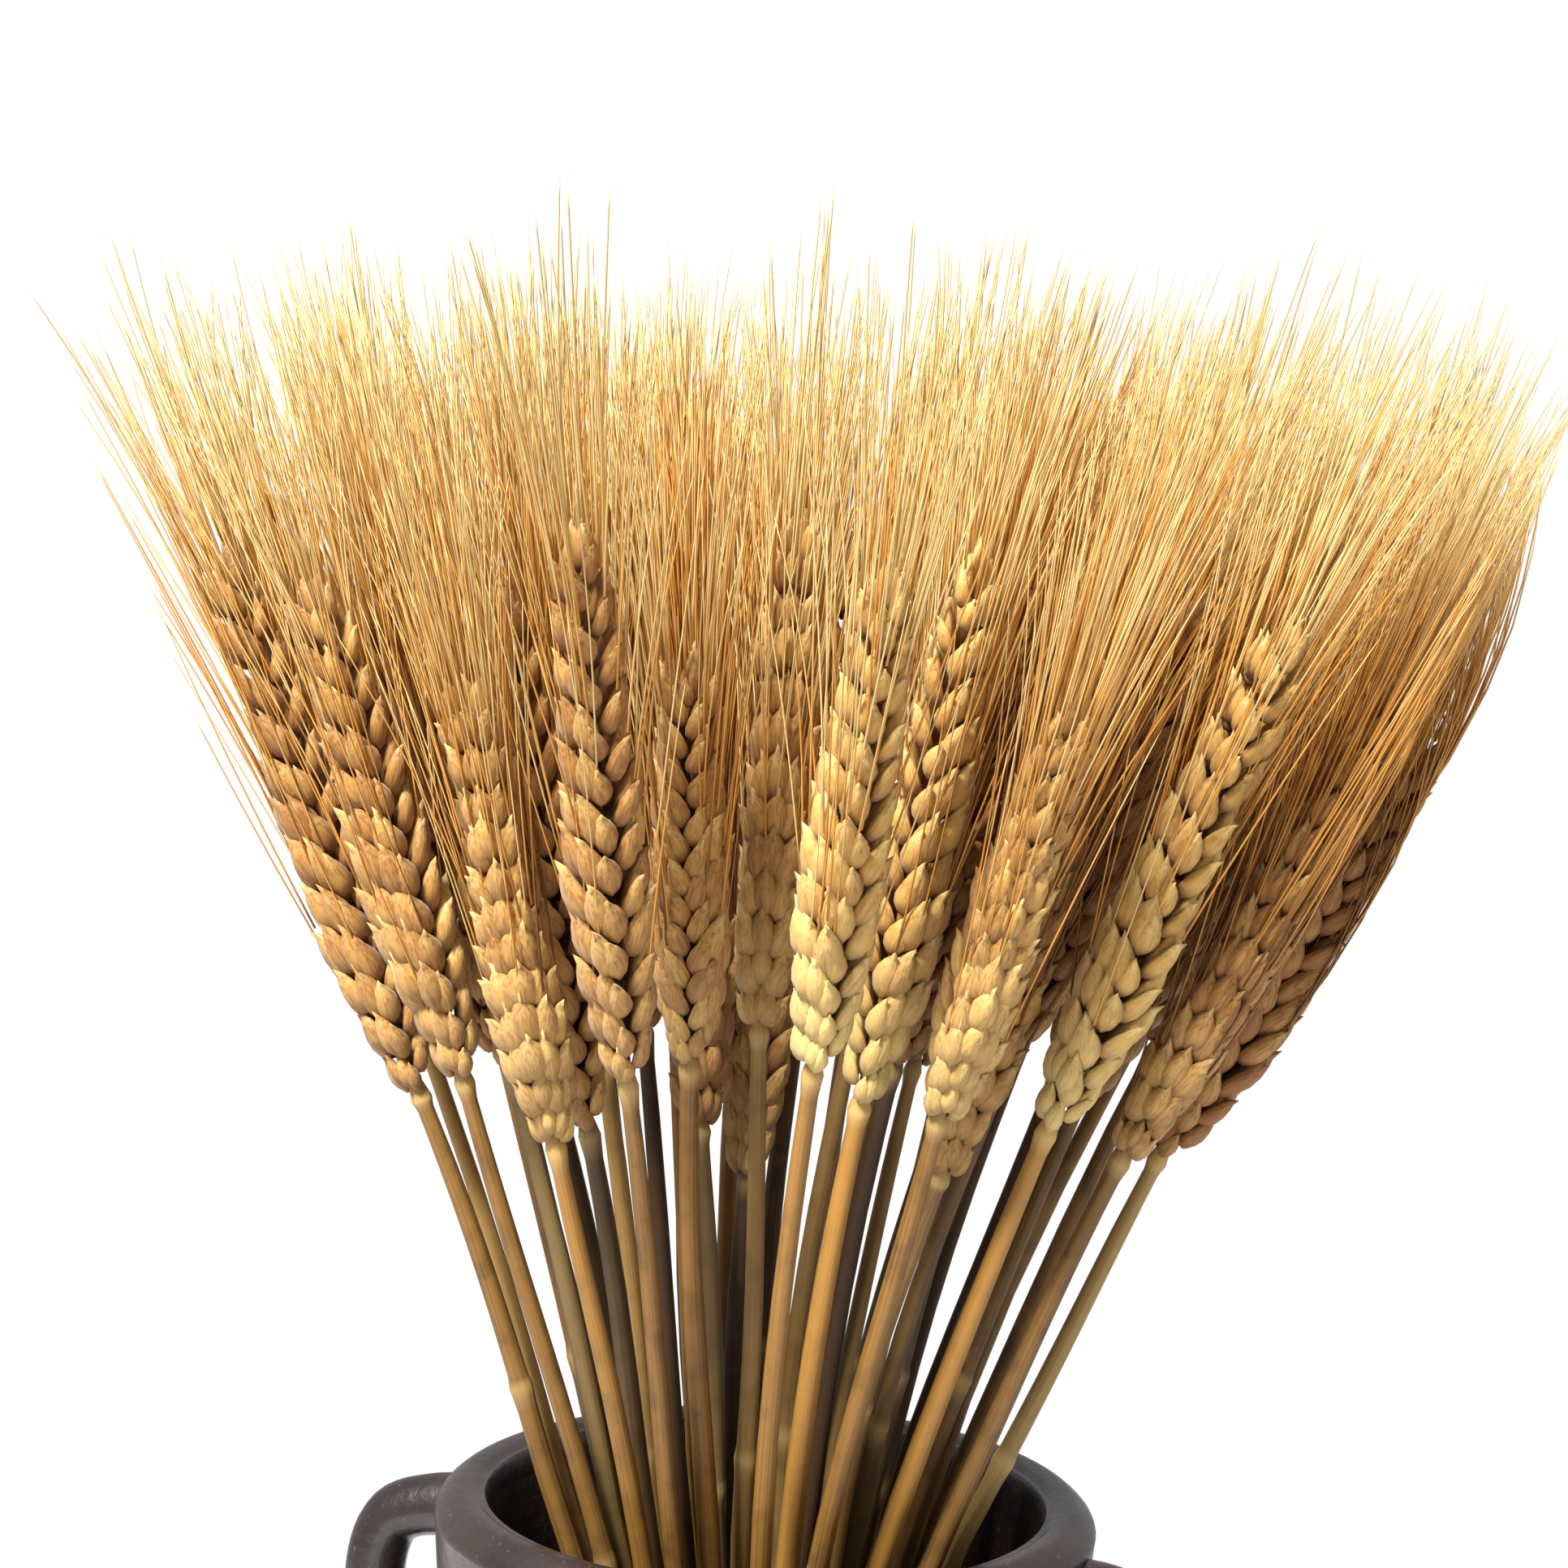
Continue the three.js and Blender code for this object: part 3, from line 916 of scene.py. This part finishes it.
        # Paler the higher it reaches: partly its own colour, partly painted shade below and painted
        # light above.
        height = (points[:, 2] - self.awn_dark_shaded_height) / (self.awn_pale_lit_height - self.awn_dark_shaded_height)
        sheaf.lay(pattern, points, Straw.AWN, reach=np.clip(height + bleach_and_light, 0, 1))

    def lay_husk(
        self,
        sheaf: Sheaf,
        place: HuskPlace,
        root: Array,
        axis: Array,
        out: Array,
        size: float,
        ear: tuple[Array, Array],
    ) -> tuple[Array, Array]:
        """Lays one husk of a spikelet.

        Args:
            sheaf: Where it is gathered.
            place: How it sits in the spikelet.
            root: The spikelet's root in the ear's own frame.
            axis: The spikelet's direction.
            out: The direction of its back.
            size: Its scale.
            ear: The ear's foot, and its axes as columns.

        Returns:
            The husk's tip and its direction, both in the ear's own frame.
        """
        chance = sheaf.chance
        fan = math.radians(place.fan + chance.uniform(-6, 6))
        roll = math.radians(place.roll + chance.uniform(-14, 14))
        aside = np.array([0.0, 1.0, 0.0])
        spread = axis * math.cos(fan) + aside * math.sin(fan)
        direction = unit(spread + out * chance.uniform(-0.05, 0.07))
        back = unit(out * math.cos(roll) + aside * math.sin(roll))
        back = unit(back - direction * (back @ direction))
        width = np.cross(back, direction)
        rise = place.height + chance.uniform(-0.6, 0.6)
        foot = root + aside * place.aside * size + axis * rise * size + out * place.out * size
        pattern = self.shapes[place.shape]
        unlike = [chance.uniform(0.93, 1.07), chance.uniform(0.93, 1.07), chance.uniform(0.95, 1.06)]
        scale = size * np.array(unlike)
        turned = (pattern.points * scale) @ np.stack([width, back, direction])
        ear_foot, axes = ear
        green = 0.6 * max(0.0, 1 - root[2] / 24) * sheaf.stalk_tone_and_light
        sheaf.lay(pattern, ear_foot + (foot + turned) @ axes.T, Straw.HUSK, mark=green)
        tip = foot + direction * pattern.points[:, 2].max() * scale[2] * 0.97
        return tip, direction

    def lay_ear(self, sheaf: Sheaf, stalk: Stalk) -> None:
        """Lays the ear: spikelets on the left and on the right in turn, and the last one upright."""
        chance = sheaf.chance
        foot, axes = self.plan.ear_frame(stalk)
        height = stalk.ear_length - self.ear_top
        for k in range(self.spikelets):
            share = k / (self.spikelets - 1)
            last = k == self.spikelets - 1
            side = 0 if last else (1 if k % 2 else -1)
            size = self.girth(share) * chance.uniform(0.95, 1.05)
            tilt = math.radians(side * self.tilt * (1 - 0.3 * share) * min(1, 0.45 + 3 * share))
            axis = np.array([math.sin(tilt), 0.0, math.cos(tilt)])
            out = np.array([math.cos(tilt), 0.0, -math.sin(tilt)]) * (side or 1)
            if last:
                out = np.array([1.0, 0.0, 0.0])
            root = np.array([0.5 * side, 0.0, share**1.1 * height])
            for place in self.places:
                tip, direction = self.lay_husk(sheaf, place, root, axis, out, size, (foot, axes))
                for _ in range(self.awns_of(chance, stalk, axes @ direction, share)):
                    self.grow_awn(sheaf, stalk, (foot, axes), tip, direction, share, place.awn)

    @staticmethod
    def awns_of(chance: random.Random, stalk: Stalk, direction: Array, share: float) -> int:
        """How many awns a husk bears: many near the top, few where they have broken off in front."""
        wanted = 0.15 + 3.0 * share
        if stalk.number < len(FRONT_STALKS):
            wanted = 0.12 + 1.65 * share
            if direction[1] < -0.08:
                wanted *= 0.3 + 0.6 * share
        return int(wanted + chance.random())

    def grow_awn(
        self,
        sheaf: Sheaf,
        stalk: Stalk,
        ear: tuple[Array, Array],
        tip: Array,
        direction: Array,
        share: float,
        full: float,
    ) -> None:
        """Draws an awn out of a husk's tip, low ones long and spread, the top ones short and straight.

        Args:
            sheaf: Where it is gathered.
            stalk: The stalk that bears it.
            ear: The ear's foot, and its axes as columns.
            tip: The husk's tip in the ear's own frame.
            direction: The husk's direction in the same frame.
            share: How far up the ear the husk sits, from 0 to 1.
            full: The awn's length as a share of a full one.
        """
        chance = sheaf.chance
        foot, axes = ear
        wander = np.array([chance.gauss(0, 0.05), chance.gauss(0, 0.05), 0.0])
        upright = np.array([0.0, 0.0, 1.0])
        aim = axes @ unit(direction * 0.4 + upright * (0.6 + 0.4 * share) + wander)
        aim = unit(aim - np.array([self.gather * max(0.0, foot[0] - self.gather_from), 0.0, 0.0]))
        length = (self.awn_length - self.awn_top_short * share) * full * chance.uniform(0.86, 1.07)
        length *= 1 + 0.13 * math.exp(-(((stalk.across - 0.5) / 0.2) ** 2))
        stray = np.array([chance.gauss(0, 1.6), chance.gauss(0, 1.6), 0])
        away = np.array([tip[0], tip[1], 0.0]) * 0.35 + stray
        # Awns inside the bouquet are mostly darker and those at its outside paler: painted shade
        # inside, painted light at the edges.
        bleach_and_light = chance.gauss(-0.18, 0.14) + 0.32 * (stalk.across**2 + stalk.depth**2)
        if stalk.number < len(FRONT_STALKS):
            # Front awns are paler, the more so low on the ear: partly pale straw, partly painted light
            # on strands that stand in front of shaded ears.
            bleach_and_light = chance.gauss(0.2, 0.2) + 0.32 * (1 - share)
        self.lay_awn(sheaf, foot + axes @ tip, aim, axes @ away, length, bleach_and_light)

    def make(self, stalk: Stalk) -> bpy.types.Object:
        """Makes one stalk in place of its node of the frame."""
        chance = random.Random(500 + stalk.number)
        # Stalks behind the front ones are mostly darker, as painted shade deep in the bouquet, and
        # paler the further back they stand.
        tone = chance.uniform(0.0, 0.4) + 0.4 * max(0.0, stalk.depth)
        if stalk.number < len(FRONT_TONES_LIT_AND_SHADED):
            tone = FRONT_TONES_LIT_AND_SHADED[stalk.number]
        sheaf = Sheaf(tone, chance)
        self.lay_stem(sheaf, stalk)
        self.lay_ear(sheaf, stalk)
        number = f"{stalk.number + 1:02d}"
        piece = sheaf.bind(f"wheat_{number}", self.finishes)
        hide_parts(f"stalk_{number}")
        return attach(piece, "root")


# The jar


@dataclass
class Jar:
    """A thrown jar with a short upright neck, a rounded lip and two loop handles."""

    height: float = 165.0
    foot_radius: float = 46.0
    belly_radius: float = 71.0
    neck_radius: float = 49.5
    mouth_radius: float = 42.5
    wall: float = 7.0
    floor_thickness: float = 9.0
    turns: int = 96
    handle_reach: float = 70.0
    handle_radius: float = 4.8
    handle_turn: float = 18.0

    def profile(self) -> list[tuple[float, float]]:
        """The wall's outline from the middle of the foot to the middle of the inner floor."""
        neck, lip = self.neck_radius, self.height
        outside = [
            (self.foot_radius + 1.5, 3),
            (60, 30),
            (69, 60),
            (self.belly_radius, 84),
            (66.5, 108),
            (57, 124),
            (neck + 0.5, 133),
            (neck, 142),
            (neck + 1, lip - 7),
            (neck + 1.2, lip - 3),
            (neck - 1.2, lip - 0.4),
            (neck - 3.2, lip),
            (neck - 5.4, lip - 0.8),
            (self.mouth_radius, lip - 4),
            (self.mouth_radius, 136),
            (57 - self.wall, 122),
            (self.belly_radius - self.wall, 84),
            (60 - self.wall, 32),
            (self.foot_radius - 4, self.floor_thickness),
        ]
        edge = self.foot_radius
        foot = [(0.0, 0.0), (edge * 0.6, 0.0), (edge - 0.6, 0.0), (edge, 0.5)]
        return [*foot, *smooth_line(outside, 4), (0.0, self.floor_thickness)]

    def make_body(self) -> bpy.types.Object:
        """Throws the body: the outline is drawn corner by corner and spun round."""
        put_down()
        bpy.ops.mesh.primitive_plane_add(size=MM)
        body = bpy.context.object
        body.name = "jar_body"
        outline = self.profile()
        with at_work_on(body) as shape:
            bmesh.ops.delete(shape, geom=shape.verts[1:], context="VERTS")
            shape.verts.ensure_lookup_table()
            first = shape.verts[0]
            first.co = (0, 0, 0)
            first.select = True
            bmesh.update_edit_mesh(body.data)
            for (r0, z0), (r1, z1) in zip(outline, outline[1:]):
                step = ((r1 - r0) * MM, 0, (z1 - z0) * MM)
                bpy.ops.mesh.extrude_region_move(TRANSFORM_OT_translate={"value": step})
            bpy.ops.mesh.select_all(action="SELECT")
            bpy.ops.mesh.spin(steps=self.turns, angle=2 * math.pi, center=(0, 0, 0), axis=(0, 0, 1))
            bpy.ops.mesh.select_all(action="SELECT")
            bpy.ops.mesh.remove_doubles(threshold=0.02 * MM)
            bpy.ops.mesh.normals_make_consistent(inside=False)
        return body

    def make_handle(self, side: int) -> bpy.types.Object:
        """Pulls one handle: a round bar drawn along its loop, thicker where it is pressed on."""
        reach = self.handle_reach - self.handle_radius
        route = [
            (self.neck_radius - 3, 155),
            (self.neck_radius + 5, 155.5),
            (reach - 3, 152.5),
            (reach, 144.5),
            (reach - 0.5, 133),
            (reach - 3, 121),
            (58.5, 113),
        ]
        turn = math.radians(180 * side - self.handle_turn)
        line = smooth_line(route, 6)
        put_down()
        bpy.ops.curve.primitive_nurbs_path_add()
        handle = bpy.context.object
        curve = handle.data
        curve.splines.clear()
        spline = curve.splines.new("POLY")
        spline.points.add(len(line) - 1)
        for number, (radius, z) in enumerate(line):
            share = number / (len(line) - 1)
            point = spline.points[number]
            point.co = (radius * math.cos(turn) * MM, radius * math.sin(turn) * MM, z * MM, 1)
            upper = 0.22 * math.exp(-((share / 0.12) ** 2))
            point.radius = 1 + upper + 0.18 * math.exp(-(((1 - share) / 0.12) ** 2))
        curve.dimensions = "3D"
        curve.bevel_depth = self.handle_radius * MM
        curve.bevel_resolution = 6
        curve.use_fill_caps = True
        pick_up(handle)
        bpy.ops.object.convert(target="MESH")
        handle = bpy.context.object
        with at_work_on(handle):
            bpy.ops.mesh.select_all(action="SELECT")
            bpy.ops.mesh.remove_doubles(threshold=0.01 * MM)
            bpy.ops.mesh.normals_make_consistent(inside=False)
        return handle

    def make(self) -> bpy.types.Object:
        """Makes the jar with its handles, in place of their nodes of the frame."""
        body = self.make_body()
        for side in (0, 1):
            handle = self.make_handle(side)
            join = body.modifiers.new("press_on", "BOOLEAN")
            join.operation = "UNION"
            join.object = handle
            finish_modifier(body, join)
            bpy.data.objects.remove(handle)
        pick_up(body)
        bpy.ops.object.shade_smooth_by_angle(angle=math.radians(50))
        body.data.materials.clear()
        body.data.materials.append(GlazeFinish().make())
        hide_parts("jar", "handle_right", "handle_left")
        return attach(body, "root")


# The studio


@dataclass(frozen=True)
class Studio:
    """A pale floor, a white room, one soft lamp and the camera at the photograph's angle."""

    eye: tuple[float, float, float] = (-1.4, -512.7, 321.7)
    pitch: float = 5.3
    roll: float = 2.2
    focal_pixels: float = 4200.0
    frame_pixels: float = 1932.0
    sensor: float = 36.0
    floor_radius: float = 0.43
    room_light: float = 0.5
    floor_drop: float = 0.0003
    lamp_place: tuple[float, float, float] = (-0.55, -0.92, 1.4)
    lamp_size: float = 0.3
    lamp_watts: float = 73.0
    lamp_target: tuple[float, float, float] = (0.0, 0.0, 0.24)

    def lay_floor(self) -> bpy.types.Object:
        """Lays the round floor just under the jar's foot."""
        put_down()
        bpy.ops.mesh.primitive_circle_add(
            vertices=96, radius=self.floor_radius, fill_type="NGON", location=(0, 0, -self.floor_drop)
        )
        floor = bpy.context.object
        floor.name = "floor"
        finish = {"Base Color": (0.82, 0.81, 0.79, 1), "Roughness": 0.85}
        floor.data.materials.append(Mixer("pale_floor").surface(finish))
        floor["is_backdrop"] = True
        return floor

    def hang_lamp(self) -> None:
        """Hangs the square soft lamp that looks at the middle of the bouquet."""
        put_down()
        bpy.ops.object.light_add(type="AREA", location=self.lamp_place)
        lamp = bpy.context.object
        lamp.name = "key"
        lamp.data.energy = self.lamp_watts
        lamp.data.size = self.lamp_size
        aim = Vector(self.lamp_target) - Vector(self.lamp_place)
        lamp.rotation_euler = aim.to_track_quat("-Z", "Y").to_euler()

    def light_room(self) -> None:
        """Sets the white room and its lamp."""
        world = bpy.data.worlds.new("white_room")
        world.use_nodes = True
        tree = world.node_tree
        back = tree.nodes["Background"]
        back.inputs["Color"].default_value = (1, 1, 1, 1)
        back.inputs["Strength"].default_value = self.room_light
        backdrop = tree.nodes.new("ShaderNodeBackground")
        seen = tree.nodes.new("ShaderNodeLightPath")
        mix = tree.nodes.new("ShaderNodeMixShader")
        tree.links.new(seen.outputs["Is Camera Ray"], mix.inputs[0])
        tree.links.new(back.outputs[0], mix.inputs[1])
        tree.links.new(backdrop.outputs[0], mix.inputs[2])
        tree.links.new(mix.outputs[0], tree.nodes["World Output"].inputs["Surface"])
        backdrop.inputs["Color"].default_value = (1, 1, 1, 1)
        bpy.context.scene.world = world
        self.hang_lamp()

    def set_camera(self) -> None:
        """Sets the camera where the photograph was taken from."""
        pitch, roll = math.radians(self.pitch), math.radians(self.roll)
        forward = Vector((0, math.cos(pitch), -math.sin(pitch)))
        right, up = Vector((1, 0, 0)), Vector((0, math.sin(pitch), math.cos(pitch)))
        leaning_right = right * math.cos(roll) + up * math.sin(roll)
        leaning_up = up * math.cos(roll) - right * math.sin(roll)
        turned = Matrix((leaning_right, leaning_up, -forward)).transposed().to_4x4()
        put_down()
        bpy.ops.object.camera_add()
        camera = bpy.context.object
        camera.matrix_world = Matrix.Translation(Vector(self.eye) * MM) @ turned
        camera.data.sensor_width = self.sensor
        camera.data.lens = self.focal_pixels / self.frame_pixels * self.sensor
        camera.data.clip_start = 0.01
        bpy.context.scene.camera = camera


def main() -> None:
    """Builds the jar, the stalks and the studio."""
    logging.basicConfig(level=logging.INFO, format="%(message)s")
    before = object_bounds()
    jar = Jar().make()
    LOG.info("%s: %d faces", jar.name, len(jar.data.polygons))
    plan = Bouquet()
    maker = WheatMaker(plan, before)
    for stalk in plan.stalks():
        piece = maker.make(stalk)
        LOG.info("%s: %d faces", piece.name, len(piece.data.polygons))
    studio = Studio()
    studio.lay_floor()
    studio.light_room()
    studio.set_camera()
    bpy.context.scene.view_settings.view_transform = "Standard"


if __name__ == "__main__":
    main()
